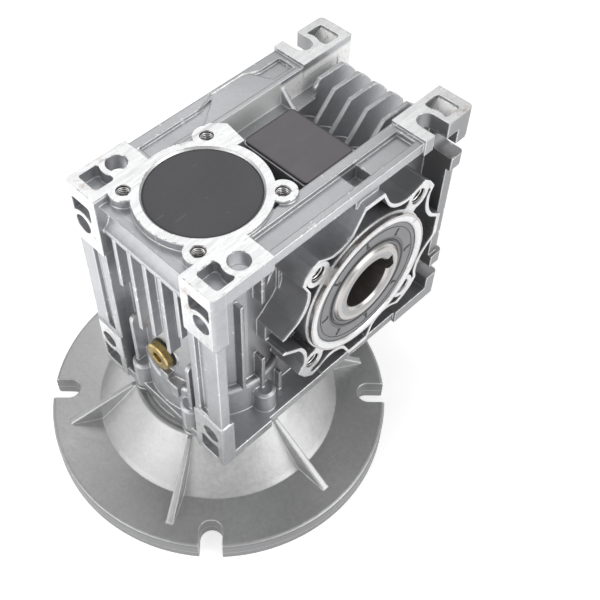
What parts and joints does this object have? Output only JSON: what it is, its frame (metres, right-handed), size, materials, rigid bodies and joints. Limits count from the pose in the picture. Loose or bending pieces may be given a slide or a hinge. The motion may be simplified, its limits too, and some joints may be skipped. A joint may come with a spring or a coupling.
{
  "type": "worm gear reducer",
  "caption": "Right-angle worm gear reducer: finned cube case on a round motor flange, hollow keyed output shaft, foot pads on each face.",
  "frame": {"origin": "centre of the motor flange's mounting face, on the worm axis", "axes": "+Z along the worm axis away from the motor; output axis along Y, 50 mm from the worm towards +X; integral output face towards -Y"},
  "size_m": [0.1925, 0.165, 0.154],
  "materials": {
    "cast_aluminium": "satin, as cast, machined pads brighter",
    "flange_grey": "satin grey paint on cast metal",
    "machined_steel": "turned",
    "ground_steel": "ground",
    "bearing_steel": "polished",
    "spring_steel": "phosphated",
    "zinc_steel": "zinc plated",
    "yellow_zinc": "yellow zinc plated",
    "bronze": "hobbed",
    "seal_rubber": "matt",
    "black_rubber": "matt",
    "cap_rubber": "satin, light scratches",
    "plate_grey": "satin, bare"
  },
  "bodies": {
    "case": {"housing": "cast_aluminium", "side_cover": "cast_aluminium", "cover_oring": "black_rubber", "cover_screws": "zinc_steel", "input_flange": "flange_grey", "flange_screws": "zinc_steel", "worm_bearing_lower_outer": "bearing_steel", "worm_bearing_upper_outer": "bearing_steel", "worm_seal": "seal_rubber", "worm_circlip": "spring_steel", "end_cap": "cap_rubber", "out_bearing_front_outer": "bearing_steel", "out_bearing_rear_outer": "bearing_steel", "output_seal_front": "seal_rubber", "output_seal_rear": "seal_rubber", "oil_plug": "yellow_zinc", "plug_washer": "black_rubber", "nameplate": "plate_grey"},
    "output_shaft": {"output_hub": "machined_steel", "worm_wheel_rim": "bronze", "out_bearing_front_inner": "bearing_steel", "out_bearing_rear_inner": "bearing_steel"},
    "worm": {"worm_shaft": "ground_steel", "worm_bearing_lower_inner": "bearing_steel", "worm_bearing_upper_inner": "bearing_steel"},
    "worm_balls_lower": {"worm_bearing_lower_balls": "bearing_steel"},
    "worm_balls_upper": {"worm_bearing_upper_balls": "bearing_steel"},
    "output_balls_front": {"out_bearing_front_balls": "bearing_steel"},
    "output_balls_rear": {"out_bearing_rear_balls": "bearing_steel"}
  },
  "joints": [
    {"name": "wheel_spin", "type": "hinge", "parent": "case", "child": "output_shaft", "pos_m": [0.05, 0, 0.094], "axis": [0, 1, 0], "continuous": true},
    {"name": "worm_spin", "type": "hinge", "parent": "case", "child": "worm", "pos_m": [0, 0, 0.094], "axis": [0, 0, 1], "continuous": true},
    {"name": "balls_lower_roll", "type": "hinge", "parent": "case", "child": "worm_balls_lower", "pos_m": [0, 0, 0.0505], "axis": [0, 0, 1], "continuous": true},
    {"name": "balls_upper_roll", "type": "hinge", "parent": "case", "child": "worm_balls_upper", "pos_m": [0, 0, 0.137], "axis": [0, 0, 1], "continuous": true},
    {"name": "balls_front_roll", "type": "hinge", "parent": "case", "child": "output_balls_front", "pos_m": [0.05, -0.0245, 0.094], "axis": [0, 1, 0], "continuous": true},
    {"name": "balls_rear_roll", "type": "hinge", "parent": "case", "child": "output_balls_rear", "pos_m": [0.05, 0.0245, 0.094], "axis": [0, 1, 0], "continuous": true}
  ],
  "couplings": [
    {"joint": "worm_spin", "follows": "wheel_spin", "ratio": -60},
    {"joint": "balls_lower_roll", "follows": "wheel_spin", "ratio": -24.667},
    {"joint": "balls_upper_roll", "follows": "wheel_spin", "ratio": -23.015},
    {"joint": "balls_front_roll", "follows": "wheel_spin", "ratio": 0.4278},
    {"joint": "balls_rear_roll", "follows": "wheel_spin", "ratio": 0.4278}
  ]
}
